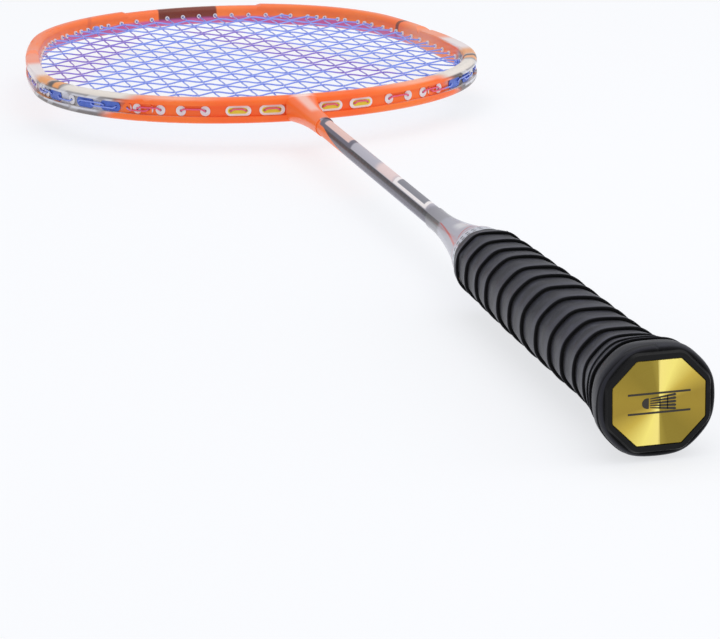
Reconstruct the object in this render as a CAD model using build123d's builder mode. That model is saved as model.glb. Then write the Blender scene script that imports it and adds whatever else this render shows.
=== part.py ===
"""Badminton racket: hollow carbon hoop and shaft, wooden handle with a wound grip, woven string bed.

Origin at the centre of the butt's end face, +Y along the shaft to the head, +Z square to the
string bed.  Millimetres.
"""
from build123d import *
from math import atan2, cos, degrees, pi, radians, sin, tan
import os

os.makedirs("parts", exist_ok=True)

# ---------------------------------------------------------------- driving dimensions
overall_length = 675.0

# hoop, outer outline made of tangent arcs
hoop_bottom_y = 427.0
hoop_half_width = 98.5
widest_y = 520.0
tip_radius = 90.0
throat_radius = 109.5

# hoop section
frame_width = 6.2
lower_height = 10.8
shoulder_height = 9.8
frame_edge_radius = 2.3
groove_depth = 1.5
groove_height = 4.6
cavity_from = 2.4
cavity_to = 5.2
cavity_height = 6.4
tip_height = 8.2
tip_zone_half = 32.0
shoulder_start_y = 575.0
shoulder_slope = 4.0
lower_slope_start_y = 500.0
lower_slope_end_y = 568.0

# string bed
string_diameter = 0.7
mains_per_side = 11
main_pitch = 7.9
cross_count = 22
cross_first_y = 452.6
cross_pitch = 9.52
weave_rise = 0.78
string_run_inset = 0.75
string_run_z = 0.75
mouth_inset = 7.3
exit_inset = 0.8
tail_inset = 9.6
easy_bend = 0.9
tight_bend = 0.45

# stringing holes, distances along the hoop from the shaft axis
main_bottom_s = [9.3, 15.7, 23.4, 29.8, 40.5, 50.9, 60.0, 70.8, 87.9, 103.2, 125.6]
cross_low_s = [65.4, 81.5, 95.4, 108.5, 118.8, 130.6]
main_tie_s = 135.35
cross_tie_s = 75.7
hole_gap = 5.0

# grommets
grommet_hole_diameter = 2.1
grommet_bore = 1.1
flange_diameter = 4.2
flange_thickness = 0.3
barrel_out = 0.8

# shaft and throat
shaft_diameter = 7.2
shaft_bore = 4.8
shaft_start_y = 80.0
shaft_end_y = 419.5
wrap_start_y = 387.5
insert_start_y = 394.0
t_arm_half = 8.0

# handle
core_half = (10.8, 10.1)
core_start_y = 4.0
core_end_y = 158.0
core_spigot_diameter = 13.8
core_spigot_end_y = 172.0
cap_end_y = 24.0
plate_half = (13.5, 12.15)
plate_recess = 0.0
plate_thickness = 1.2
grip_start_y = 2.2
grip_end_y = 163.0
cone_end_y = 224.0
band_end_y = 171.0
flat_ratio = (0.48, 0.42)


# ---------------------------------------------------------------- hoop outline
tip_c = overall_length - tip_radius
throat_c = hoop_bottom_y + throat_radius
rise = tip_c - widest_y
drop = widest_y - throat_c
upper_radius = (hoop_half_width**2 + rise**2 - tip_radius**2) / (2 * (hoop_half_width - tip_radius))
lower_radius = (hoop_half_width**2 + drop**2 - throat_radius**2) / (
    2 * (hoop_half_width - throat_radius)
)
upper_cx = hoop_half_width - upper_radius
lower_cx = hoop_half_width - lower_radius
tip_angle = degrees(atan2(rise, -upper_cx))
throat_angle = degrees(atan2(-(throat_c - widest_y), lower_cx))
arc_lengths = [
    throat_radius * radians(90 + throat_angle),
    lower_radius * radians(-throat_angle),
    upper_radius * radians(tip_angle),
    tip_radius * radians(90 - tip_angle),
]
half_length = sum(arc_lengths)


def hoop_loop(inset):
    """Closed hoop outline, moved inwards by inset (inside a BuildLine)."""
    CenterArc((0, tip_c), tip_radius - inset, tip_angle, 180 - 2 * tip_angle)
    CenterArc((-upper_cx, widest_y), upper_radius - inset, 180 - tip_angle, tip_angle)
    CenterArc((-lower_cx, widest_y), lower_radius - inset, 180, -throat_angle)
    CenterArc((0, throat_c), throat_radius - inset, 180 - throat_angle, 180 + 2 * throat_angle)
    CenterArc((lower_cx, widest_y), lower_radius - inset, 360 + throat_angle, -throat_angle)
    CenterArc((upper_cx, widest_y), upper_radius - inset, 0, tip_angle)


def hoop_at(s, inset=0.0):
    """Point and outward direction on the hoop, s from the shaft axis, right side positive."""
    side = 1 if s >= 0 else -1
    left = abs(s)
    if left <= arc_lengths[0]:
        angle = radians(-90) + left / throat_radius
        centre = (0.0, throat_c)
        radius = throat_radius
    elif left <= sum(arc_lengths[:2]):
        angle = radians(throat_angle) + (left - arc_lengths[0]) / lower_radius
        centre = (lower_cx, widest_y)
        radius = lower_radius
    elif left <= sum(arc_lengths[:3]):
        angle = (left - sum(arc_lengths[:2])) / upper_radius
        centre = (upper_cx, widest_y)
        radius = upper_radius
    else:
        angle = radians(tip_angle) + (left - sum(arc_lengths[:3])) / tip_radius
        centre = (0.0, tip_c)
        radius = tip_radius
    x = centre[0] + (radius - inset) * cos(angle)
    y = centre[1] + (radius - inset) * sin(angle)
    return side * x, y, side * cos(angle), sin(angle)


def station(low, high, wanted, axis, inset):
    """Distance along the hoop where the inset outline has the wanted x (axis 0) or y (axis 1)."""
    rising = hoop_at(high, inset)[axis] > hoop_at(low, inset)[axis]
    for _ in range(60):
        middle = (low + high) / 2
        if (hoop_at(middle, inset)[axis] < wanted) == rising:
            low = middle
        else:
            high = middle
    return low


# ---------------------------------------------------------------- hole stations
widest_s = arc_lengths[0] + arc_lengths[1]
main_x = [main_pitch * (i + 0.5) for i in range(mains_per_side)]
cross_y = [cross_first_y + cross_pitch * j for j in range(cross_count)]
upper_holes = []
for i in range(mains_per_side):
    upper_holes.append([station(widest_s, half_length, main_x[i], 0, mouth_inset), "main", i])
for j in range(len(cross_low_s), cross_count):
    upper_holes.append([station(widest_s / 2, half_length, cross_y[j], 1, mouth_inset), "cross", j])
upper_holes.append([station(widest_s, half_length, 50.6, 0, mouth_inset), "tie", 0])
upper_holes.sort()
for _ in range(400):
    for k in range(len(upper_holes) - 1):
        lack = hole_gap - (upper_holes[k + 1][0] - upper_holes[k][0])
        if lack > 0:
            upper_holes[k][0] -= lack / 2
            upper_holes[k + 1][0] += lack / 2
main_top_s = [0.0] * mains_per_side
cross_s = cross_low_s + [0.0] * (cross_count - len(cross_low_s))
top_tie_s = 0.0
for place, kind, index in upper_holes:
    if kind == "main":
        main_top_s[index] = place
    elif kind == "cross":
        cross_s[index] = place
    else:
        top_tie_s = place
cross_y = [hoop_at(s, mouth_inset)[1] for s in cross_s]


def hole_planes(stations, inset):
    """Planes on the hoop at the stations, z out of the hoop, x along it."""
    planes = []
    for s in stations:
        x, y, nx, ny = hoop_at(s, inset)
        planes.append(Plane(origin=(x, y, 0), x_dir=(-ny, nx, 0), z_dir=(nx, ny, 0)))
    return planes


def both_sides(stations):
    return [s for s in stations] + [-s for s in stations]


def across(y):
    """Plane square to the shaft at y, its normal to the head."""
    return Plane(origin=(0, y, 0), x_dir=(1, 0, 0), z_dir=(0, 1, 0))


def octagon(half_x, half_z, corner):
    """Eight sided face with rounded corners (inside a BuildSketch)."""
    flat_x = flat_ratio[0] * half_x
    flat_z = flat_ratio[1] * half_z
    rim = Polygon(
        (flat_x, half_z),
        (half_x, flat_z),
        (half_x, -flat_z),
        (flat_x, -half_z),
        (-flat_x, -half_z),
        (-half_x, -flat_z),
        (-half_x, flat_z),
        (-flat_x, half_z),
    )
    fillet(rim.vertices(), radius=corner)


# ---------------------------------------------------------------- hoop of the head
all_stations = both_sides(main_bottom_s) + both_sides(main_top_s) + both_sides(cross_s)
all_stations += [main_tie_s, -main_tie_s, -cross_tie_s, -top_tie_s]

with BuildPart() as shoulders:
    with BuildSketch():
        with BuildLine():
            hoop_loop(0)
        make_face()
        with BuildLine():
            hoop_loop(frame_width)
        make_face(mode=Mode.SUBTRACT)
    extrude(amount=shoulder_height / 2, both=True)
    shoulder_rims = shoulders.edges().group_by(Axis.Z)[-1] + shoulders.edges().group_by(Axis.Z)[0]
    fillet(shoulder_rims, radius=frame_edge_radius)
    with BuildSketch(Plane.YZ):
        Polygon(
            (shoulder_start_y - shoulder_slope, -3.6),
            (shoulder_start_y + shoulder_slope, -6),
            (overall_length + 5, -6),
            (overall_length + 5, 6),
            (shoulder_start_y + shoulder_slope, 6),
            (shoulder_start_y - shoulder_slope, 3.6),
            align=None,
        )
    extrude(amount=hoop_half_width + 5, both=True, mode=Mode.INTERSECT)
    with BuildSketch(Plane.XZ.offset(-(overall_length - 30))):
        Polygon(
            (-tip_zone_half, -3.6),
            (-tip_zone_half - 5, -6),
            (tip_zone_half + 5, -6),
            (tip_zone_half, -3.6),
            (tip_zone_half, 3.6),
            (tip_zone_half + 5, 6),
            (-tip_zone_half - 5, 6),
            (-tip_zone_half, 3.6),
            align=None,
        )
    extrude(amount=-40, mode=Mode.SUBTRACT)

with BuildPart() as lower_hoop:
    with BuildSketch():
        with BuildLine():
            hoop_loop(0)
        make_face()
        with BuildLine():
            hoop_loop(frame_width)
        make_face(mode=Mode.SUBTRACT)
    extrude(amount=lower_height / 2, both=True)
    lower_rims = lower_hoop.edges().group_by(Axis.Z)[-1] + lower_hoop.edges().group_by(Axis.Z)[0]
    fillet(lower_rims, radius=frame_edge_radius)
    with BuildSketch(Plane.YZ):
        Polygon(
            (hoop_bottom_y - 5, -6),
            (lower_slope_start_y, -lower_height / 2 - 0.01),
            (lower_slope_end_y, -tip_height / 2 + 0.1),
            (lower_slope_end_y, tip_height / 2 - 0.1),
            (lower_slope_start_y, lower_height / 2 + 0.01),
            (hoop_bottom_y - 5, 6),
            align=None,
        )
    extrude(amount=hoop_half_width + 5, both=True, mode=Mode.INTERSECT)

with BuildPart() as head_frame:
    with BuildSketch():
        with BuildLine():
            hoop_loop(0)
        make_face()
        with BuildLine():
            hoop_loop(frame_width)
        make_face(mode=Mode.SUBTRACT)
    extrude(amount=tip_height / 2, both=True)
    rims = head_frame.edges().group_by(Axis.Z)[-1] + head_frame.edges().group_by(Axis.Z)[0]
    fillet(rims, radius=frame_edge_radius)
    # the hoop is tallest at the throat, with raised shoulders on both sides of the tip
    add(lower_hoop.part)
    add(shoulders.part)
    # stringing groove round the outside, left out at the throat
    with BuildSketch():
        with BuildLine():
            hoop_loop(-1)
        make_face()
        with BuildLine():
            hoop_loop(groove_depth)
        make_face(mode=Mode.SUBTRACT)
        with Locations((0, hoop_bottom_y)):
            Rectangle(12, 20, mode=Mode.SUBTRACT)
    extrude(amount=groove_height / 2, both=True, mode=Mode.SUBTRACT)
    # hollow of the tube
    with BuildSketch():
        with BuildLine():
            hoop_loop(cavity_from)
        make_face()
        with BuildLine():
            hoop_loop(cavity_to)
        make_face(mode=Mode.SUBTRACT)
    extrude(amount=cavity_height / 2, both=True, mode=Mode.SUBTRACT)
    with Locations(*hole_planes(all_stations, 0)):
        Hole(radius=grommet_hole_diameter / 2, depth=frame_width + 2)
    with BuildSketch(across(hoop_bottom_y - 2)):
        Circle(shaft_bore / 2)
    extrude(amount=5, mode=Mode.SUBTRACT)
head_frame.part.label = "head_frame"
export_step(head_frame.part, "parts/head_frame.step")

# ---------------------------------------------------------------- throat wrap and T-piece
wrap_sections = [
    (wrap_start_y, 7.9, 7.9, 3.9),
    (400.0, 8.4, 8.3, 4.0),
    (411.0, 9.4, 9.0, 4.0),
    (420.0, 11.2, 9.8, 3.8),
    (428.0, 14.0, 10.6, 3.4),
]
with BuildPart() as throat_joint:
    for y, width, height, corner in wrap_sections:
        with BuildSketch(across(y)):
            RectangleRounded(width, height, corner)
    loft()
    with BuildSketch():
        with BuildLine():
            hoop_loop(0)
        make_face()
    extrude(amount=10, both=True, mode=Mode.SUBTRACT)
    with BuildSketch(across(wrap_start_y - 1)):
        Circle(shaft_diameter / 2)
    extrude(amount=shaft_end_y - wrap_start_y + 1, mode=Mode.SUBTRACT)
    with BuildSketch(across(shaft_end_y - 1)):
        Circle(shaft_bore / 2)
    extrude(amount=20, mode=Mode.SUBTRACT)
throat_joint.part.label = "throat_joint"
export_step(throat_joint.part, "parts/throat_joint.step")

with BuildPart() as t_insert:
    with BuildSketch():
        with BuildLine():
            hoop_loop(cavity_from + 0.1)
        make_face()
        with BuildLine():
            hoop_loop(cavity_to - 0.1)
        make_face(mode=Mode.SUBTRACT)
        with Locations((0, hoop_bottom_y)):
            Rectangle(2 * t_arm_half, 20, mode=Mode.INTERSECT)
    extrude(amount=cavity_height / 2 - 0.1, both=True)
    with BuildSketch(across(insert_start_y)):
        Circle(shaft_bore / 2 - 0.05)
    extrude(amount=hoop_bottom_y + cavity_from + 1 - insert_start_y)
t_insert.part.label = "t_insert"
export_step(t_insert.part, "parts/t_insert.step")

# ---------------------------------------------------------------- shaft
with BuildPart() as shaft:
    with BuildSketch(across(shaft_start_y)):
        Circle(shaft_diameter / 2)
        Circle(shaft_bore / 2, mode=Mode.SUBTRACT)
    extrude(amount=shaft_end_y - shaft_start_y)
shaft.part.label = "shaft"
export_step(shaft.part, "parts/shaft.step")

with BuildPart() as shaft_plug:
    with BuildSketch(across(shaft_start_y)):
        Circle(shaft_bore / 2 - 0.02)
    extrude(amount=9)
    chamfer(shaft_plug.edges().sort_by(Axis.Y)[-1], length=0.6)
shaft_plug.part.label = "shaft_plug"
export_step(shaft_plug.part, "parts/shaft_plug.step")

# ---------------------------------------------------------------- handle
with BuildPart() as handle_core:
    with BuildSketch(across(core_start_y)):
        octagon(core_half[0], core_half[1], 1.2)
    extrude(amount=core_end_y - core_start_y)
    with BuildSketch(across(core_end_y)):
        Circle(core_spigot_diameter / 2)
    extrude(amount=core_spigot_end_y - core_end_y)
    with BuildSketch(across(shaft_start_y)):
        Circle(shaft_diameter / 2)
    extrude(amount=core_spigot_end_y - shaft_start_y + 1, mode=Mode.SUBTRACT)
    # staple holes in the upper flat
    with BuildSketch(Plane.XY.offset(core_half[1])):
        with Locations((-3.6, 28), (3.6, 28)):
            Rectangle(0.8, 0.8)
    extrude(amount=-5.2, mode=Mode.SUBTRACT)
handle_core.part.label = "handle_core"
export_step(handle_core.part, "parts/handle_core.step")

cap_sections = [
    (0.0, 14.7, 13.7, 4.2),
    (1.2, 15.5, 14.5, 4.6),
    (7.0, 15.3, 14.3, 4.6),
    (15.0, 13.0, 12.2, 3.6),
    (cap_end_y, 11.7, 10.95, 2.2),
]
with BuildPart() as butt_cap:
    for y, half_x, half_z, corner in cap_sections:
        with BuildSketch(across(y)):
            octagon(half_x, half_z, corner)
    loft(ruled=True)
    with BuildSketch(across(0)):
        octagon(plate_half[0] + 0.05, plate_half[1] + 0.05, 1.0)
    extrude(amount=plate_recess + plate_thickness, mode=Mode.SUBTRACT)
    with BuildSketch(across(core_start_y)):
        octagon(core_half[0], core_half[1], 1.2)
    extrude(amount=cap_end_y, mode=Mode.SUBTRACT)
butt_cap.part.label = "butt_cap"
export_step(butt_cap.part, "parts/butt_cap.step")

with BuildPart() as end_plate:
    with BuildSketch(across(plate_recess)):
        octagon(plate_half[0], plate_half[1], 1.0)
    extrude(amount=plate_thickness)
    chamfer(end_plate.faces().sort_by(Axis.Y)[0].edges(), length=0.25)
end_plate.part.label = "end_plate"
export_step(end_plate.part, "parts/end_plate.step")

# staple over the first turn of the grip
with BuildPart() as grip_staple:
    with BuildSketch(Plane.XZ.offset(-27.7)):
        with BuildLine():
            Polyline(
                (-3.95, core_half[1] - 5.0),
                (-3.95, core_half[1] + 0.6),
                (3.95, core_half[1] + 0.6),
                (3.95, core_half[1] - 5.0),
                (3.35, core_half[1] - 4.4),
                (3.35, core_half[1]),
                (-3.35, core_half[1]),
                (-3.35, core_half[1] - 4.4),
                close=True,
            )
        make_face()
    extrude(amount=-0.6)
grip_staple.part.label = "grip_staple"
export_step(grip_staple.part, "parts/grip_staple.step")

# wound grip: a closed sleeve over the cap's flare and the core
grip_sections = [
    (grip_start_y, 16.9, 15.9, 6.2),
    (8.0, 17.0, 16.0, 6.2),
    (15.0, 14.9, 14.1, 5.6),
    (24.0, 13.6, 12.9, 5.0),
    (40.0, 13.0, 12.3, 4.8),
    (100.0, 13.0, 12.3, 4.8),
    (150.0, 12.6, 11.9, 4.6),
    (grip_end_y, 11.9, 11.2, 4.4),
]
with BuildPart() as grip_tape:
    for y, half_x, half_z, corner in grip_sections:
        with BuildSketch(across(y)):
            octagon(half_x, half_z, corner)
    loft(ruled=True)
    for y, half_x, half_z, corner in cap_sections:
        with BuildSketch(across(y)):
            octagon(half_x, half_z, corner)
    loft(ruled=True, mode=Mode.SUBTRACT)
    with BuildSketch(across(cap_end_y - 1)):
        octagon(core_half[0], core_half[1], 1.2)
    extrude(amount=core_end_y - cap_end_y + 1, mode=Mode.SUBTRACT)
    with BuildSketch(across(core_end_y - 0.5)):
        Circle(10.45)
    extrude(amount=10, mode=Mode.SUBTRACT)
    with BuildSketch(Plane.XY.offset(core_half[1] - 0.2)):
        with Locations((0, 28)):
            Rectangle(7.9, 0.6)
    extrude(amount=0.8, mode=Mode.SUBTRACT)
grip_tape.part.label = "grip_tape"
export_step(grip_tape.part, "parts/grip_tape.step")

# tapered cap over the end of the handle
with BuildPart() as cone_cap:
    with BuildSketch(Plane.YZ):
        with BuildLine():
            l1 = Line((core_end_y, core_spigot_diameter / 2), (core_end_y, 10.4))
            l2 = Line(l1 @ 1, (grip_end_y, 10.0))
            l3 = Spline(
                l2 @ 1,
                (172.0, 9.0),
                (186.0, 6.9),
                (202.0, 4.9),
                (cone_end_y, 4.0),
            )
            l4 = Line(l3 @ 1, (cone_end_y, shaft_diameter / 2))
            l5 = Line(l4 @ 1, (core_spigot_end_y, shaft_diameter / 2))
            l6 = Line(l5 @ 1, (core_spigot_end_y, core_spigot_diameter / 2))
            Line(l6 @ 1, l1 @ 0)
        make_face()
    revolve(axis=Axis.Y)
cone_cap.part.label = "cone_cap"
export_step(cone_cap.part, "parts/cone_cap.step")

# printed band at the end of the grip
with BuildPart() as finishing_tape:
    with BuildSketch(Plane.YZ):
        with BuildLine():
            Polyline(
                (grip_end_y + 0.05, 10.1),
                (grip_end_y + 0.05, 10.6),
                (band_end_y, 9.7),
                (band_end_y, 9.2),
                close=True,
            )
        make_face()
    revolve(axis=Axis.Y)
finishing_tape.part.label = "finishing_tape"
export_step(finishing_tape.part, "parts/finishing_tape.step")


# ---------------------------------------------------------------- grommets
def grommet_set(stations):
    """Single grommets: round flange in the groove, barrel through both walls."""
    with BuildPart() as set_part:
        with BuildSketch(*hole_planes(stations, groove_depth)):
            Circle(flange_diameter / 2)
            Circle(grommet_bore / 2, mode=Mode.SUBTRACT)
        extrude(amount=flange_thickness)
        with BuildSketch(*hole_planes(stations, groove_depth)):
            Circle(grommet_hole_diameter / 2 - 0.05)
            Circle(grommet_bore / 2, mode=Mode.SUBTRACT)
        extrude(amount=-(frame_width - groove_depth + barrel_out))
    return set_part


def double_grommet_set(pairs):
    """Two-hole grommets: a long flange over two barrels."""
    middles = [(a + b) / 2 for a, b in pairs]
    holes = [s for pair in pairs for s in pair]
    apart = abs(pairs[0][0] - pairs[0][1])
    with BuildPart() as set_part:
        with BuildSketch(*hole_planes(middles, groove_depth)):
            SlotCenterToCenter(apart, flange_diameter)
        extrude(amount=flange_thickness - 0.1)
        with BuildSketch(*hole_planes(holes, groove_depth - 0.1)):
            Circle(grommet_hole_diameter / 2 - 0.05)
        extrude(amount=-(frame_width - groove_depth + 0.1 + barrel_out))
        with Locations(*hole_planes(holes, 0)):
            Hole(radius=grommet_bore / 2, depth=frame_width + 3)
    return set_part


throat_pairs = [(main_bottom_s[0], main_bottom_s[1]), (main_bottom_s[2], main_bottom_s[3])]
throat_pairs += [(-a, -b) for a, b in throat_pairs]
throat_grommets = double_grommet_set(throat_pairs)
throat_grommets.part.label = "throat_grommets"
export_step(throat_grommets.part, "parts/throat_grommets.step")

side_pairs = [
    (cross_low_s[1], main_bottom_s[8]),
    (cross_low_s[2], main_bottom_s[9]),
    (cross_low_s[4], main_bottom_s[10]),
]
side_pairs += [(-a, -b) for a, b in side_pairs]
lower_side_grommets = double_grommet_set(side_pairs)
lower_side_grommets.part.label = "lower_side_grommets"
export_step(lower_side_grommets.part, "parts/lower_side_grommets.step")

paired = [s for pair in throat_pairs + side_pairs for s in pair]
singles = [s for s in all_stations if s not in paired]

lower_grommets = grommet_set([s for s in singles if abs(s) < 118])
lower_grommets.part.label = "lower_grommets"
export_step(lower_grommets.part, "parts/lower_grommets.step")

right_grommets = grommet_set([s for s in singles if 118 < s < 272])
right_grommets.part.label = "right_grommets"
export_step(right_grommets.part, "parts/right_grommets.step")

left_grommets = grommet_set([s for s in singles if -272 < s < -118])
left_grommets.part.label = "left_grommets"
export_step(left_grommets.part, "parts/left_grommets.step")

tip_grommets = grommet_set([s for s in singles if abs(s) > 272])
tip_grommets.part.label = "tip_grommets"
export_step(tip_grommets.part, "parts/tip_grommets.step")


# ---------------------------------------------------------------- strings
def hoop_point(s, inset, z=0.0):
    x, y, _, _ = hoop_at(s, inset)
    return Vector(x, y, z)


def rounded_route(points):
    """Lines through the points with tangent arcs at the bends (inside a BuildLine)."""
    start = points[0]
    for k in range(1, len(points) - 1):
        corner = points[k]
        back = (points[k - 1] - corner).normalized()
        ahead = (points[k + 1] - corner).normalized()
        bend = pi - radians(back.get_angle(ahead))
        if bend < radians(0.4):
            continue
        room = min((points[k - 1] - corner).length, (points[k + 1] - corner).length) * 0.48
        radius = tight_bend if bend > radians(40) else easy_bend
        reach = min(radius * tan(bend / 2), room)
        size = reach / tan(bend / 2)
        first = corner + back * reach
        last = corner + ahead * reach
        halfway = (back + ahead).normalized()
        middle = corner + halfway * (size / cos(bend / 2) - size)
        Line(start, first)
        ThreePointArc(first, middle, last)
        start = last
    Line(start, points[-1])


def outside_loop(s_from, s_to, z):
    """Route in the outer groove from one hole to the next."""
    way = 1 if s_to > s_from else -1
    route = [hoop_point(s_from, exit_inset)]
    route.append(hoop_point(s_from + 1.3 * way, string_run_inset, z))
    steps = int((abs(s_to - s_from) - 2.6) // 5)
    for k in range(1, steps + 1):
        part_way = 1.3 + (abs(s_to - s_from) - 2.6) * k / (steps + 1)
        route.append(hoop_point(s_from + part_way * way, string_run_inset, z))
    route.append(hoop_point(s_to - 1.3 * way, string_run_inset, z))
    route.append(hoop_point(s_to, exit_inset))
    return route


def main_lane(i, side):
    """Points of one vertical string between its two inner mouths, from the throat up."""
    low = hoop_point(side * main_bottom_s[i], mouth_inset)
    high = hoop_point(side * main_top_s[i], mouth_inset)
    x = side * main_x[i]
    return [low, Vector(x, low.Y + 20, 0), Vector(x, high.Y - 7, 0), high]


def lane_x(lane, y):
    """x of a vertical string at height y, or None where the string does not reach."""
    if y < lane[0].Y + 0.8 or y > lane[3].Y - 0.8:
        return None
    for a, b in zip(lane[:-1], lane[1:]):
        if a.Y <= y <= b.Y:
            return a.X + (b.X - a.X) * (y - a.Y) / (b.Y - a.Y)
    return None


lanes = [main_lane(i, -1) for i in reversed(range(mains_per_side))]
lanes += [main_lane(i, 1) for i in range(mains_per_side)]

# vertical strings: one length, from the left tie hole across the bed to the right one
main_route = [hoop_point(-main_tie_s, tail_inset), hoop_point(-main_tie_s, 3.0)]
main_route += outside_loop(-main_tie_s, -main_bottom_s[-1], string_run_z)
upwards = True
order = [(-1, i) for i in reversed(range(mains_per_side))] + [(1, i) for i in range(mains_per_side)]
for k, (side, i) in enumerate(order):
    lane = main_lane(i, side)
    main_route += lane if upwards else list(reversed(lane))
    here = main_top_s[i] if upwards else main_bottom_s[i]
    if k < len(order) - 1:
        next_side, n = order[k + 1]
        there = main_top_s[n] if upwards else main_bottom_s[n]
        if side == -1 and next_side == 1:
            gap = 2 * half_length - here - there if upwards else here + there
            loop = outside_loop(-here, -here - gap if upwards else there, string_run_z)
        else:
            loop = outside_loop(side * here, next_side * there, string_run_z)
        main_route += loop
    else:
        main_route += outside_loop(side * here, side * main_tie_s, string_run_z)
    upwards = not upwards
main_route += [hoop_point(main_tie_s, 3.0), hoop_point(main_tie_s, tail_inset)]

# cross strings: one length, woven over and under from the tip down to the throat
cross_route = [hoop_point(-top_tie_s, tail_inset), hoop_point(-top_tie_s, 3.0)]
cross_route += outside_loop(-top_tie_s, -cross_s[-1], -string_run_z)
to_right = True
for j in reversed(range(cross_count)):
    y = cross_y[j]
    lane = [hoop_point(-cross_s[j], mouth_inset)]
    for k in range(len(lanes)):
        x = lane_x(lanes[k], y)
        if x is not None:
            lane.append(Vector(x, y, weave_rise if (k + j) % 2 else -weave_rise))
    lane.append(hoop_point(cross_s[j], mouth_inset))
    cross_route += lane if to_right else list(reversed(lane))
    side = 1 if to_right else -1
    if j > 0:
        cross_route += outside_loop(side * cross_s[j], side * cross_s[j - 1], -string_run_z)
    to_right = not to_right
cross_route += outside_loop(-cross_s[0], -cross_tie_s, -string_run_z)
cross_route += [hoop_point(-cross_tie_s, 3.0), hoop_point(-cross_tie_s, tail_inset)]


def string_solid(route):
    """Round string swept along the route."""
    with BuildPart() as strand:
        with BuildLine() as path:
            rounded_route(route)
        with BuildSketch(Plane(origin=path.wire() @ 0, z_dir=path.wire() % 0)):
            Circle(string_diameter / 2)
        sweep()
    return strand


main_string = string_solid(main_route)
main_string.part.label = "main_string"
export_step(main_string.part, "parts/main_string.step")

cross_string = string_solid(cross_route)
cross_string.part.label = "cross_string"
export_step(cross_string.part, "parts/cross_string.step")


# ---------------------------------------------------------------- knots
def knot_set(stations):
    """Tie-off knots: two turns of string round the end, against the grommet's mouth."""
    with BuildPart() as knots:
        for s in stations:
            x, y, nx, ny = hoop_at(s, frame_width + barrel_out)
            with BuildSketch(Plane(origin=(x, y, 0), x_dir=(0, 0, 1), z_dir=(-ny, nx, 0))):
                with BuildLine():
                    Polyline((0.37, 0), (0.37, -2.2), (0.86, -2.2), (0.86, 0), close=True)
                make_face()
                with Locations((0.86, -0.55), (0.86, -1.6)):
                    Circle(0.49)
            revolve(axis=Axis((x, y, 0), (nx, ny, 0)))
    return knots


main_knots = knot_set([main_tie_s, -main_tie_s])
main_knots.part.label = "main_knots"
export_step(main_knots.part, "parts/main_knots.step")

cross_knots = knot_set([-top_tie_s, -cross_tie_s])
cross_knots.part.label = "cross_knots"
export_step(cross_knots.part, "parts/cross_knots.step")
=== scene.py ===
"""Badminton racket: wound grip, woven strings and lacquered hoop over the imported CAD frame."""

import bpy
from math import atan2, cos, hypot, pi, radians, sin, sqrt
from mathutils import Matrix, Vector


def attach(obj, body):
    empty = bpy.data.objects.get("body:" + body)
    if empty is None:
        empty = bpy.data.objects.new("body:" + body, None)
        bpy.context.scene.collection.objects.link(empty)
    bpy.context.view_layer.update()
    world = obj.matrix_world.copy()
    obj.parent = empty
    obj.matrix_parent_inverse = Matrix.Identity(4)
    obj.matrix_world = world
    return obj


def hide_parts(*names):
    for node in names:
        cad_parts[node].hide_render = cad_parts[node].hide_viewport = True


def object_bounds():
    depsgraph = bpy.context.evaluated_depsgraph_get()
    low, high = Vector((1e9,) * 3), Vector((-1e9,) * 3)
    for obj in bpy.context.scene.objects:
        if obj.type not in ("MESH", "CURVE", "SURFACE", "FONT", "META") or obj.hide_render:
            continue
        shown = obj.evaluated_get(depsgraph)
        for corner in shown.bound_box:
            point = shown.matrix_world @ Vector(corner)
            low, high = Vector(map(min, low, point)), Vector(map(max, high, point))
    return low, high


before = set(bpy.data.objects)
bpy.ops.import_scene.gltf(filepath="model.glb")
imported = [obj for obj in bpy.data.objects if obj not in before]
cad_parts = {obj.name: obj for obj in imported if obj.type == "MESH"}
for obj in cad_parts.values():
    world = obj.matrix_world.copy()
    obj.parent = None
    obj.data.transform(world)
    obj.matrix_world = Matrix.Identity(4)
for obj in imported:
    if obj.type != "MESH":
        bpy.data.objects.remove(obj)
cad_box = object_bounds()
MM = 0.001

# ------------------------------------------------------------------ camera
forward = Vector((0.23185, 0.9348, -0.26908)).normalized()
right = forward.cross(Vector((0.08443, 0.25623, 0.96292))).normalized()
upward = right.cross(forward)
camera_data = bpy.data.cameras.new("camera")
camera_data.sensor_width = 36.0
camera_data.lens = 142.515
camera_data.clip_start = 0.02
camera_data.clip_end = 50.0
camera = bpy.data.objects.new("camera", camera_data)
bpy.context.collection.objects.link(camera)
camera.matrix_world = Matrix(
    (
        (right.x, upward.x, -forward.x, -0.2566),
        (right.y, upward.y, -forward.y, -0.69859),
        (right.z, upward.z, -forward.z, 0.23184),
        (0, 0, 0, 1),
    )
)
bpy.context.scene.camera = camera


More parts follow.
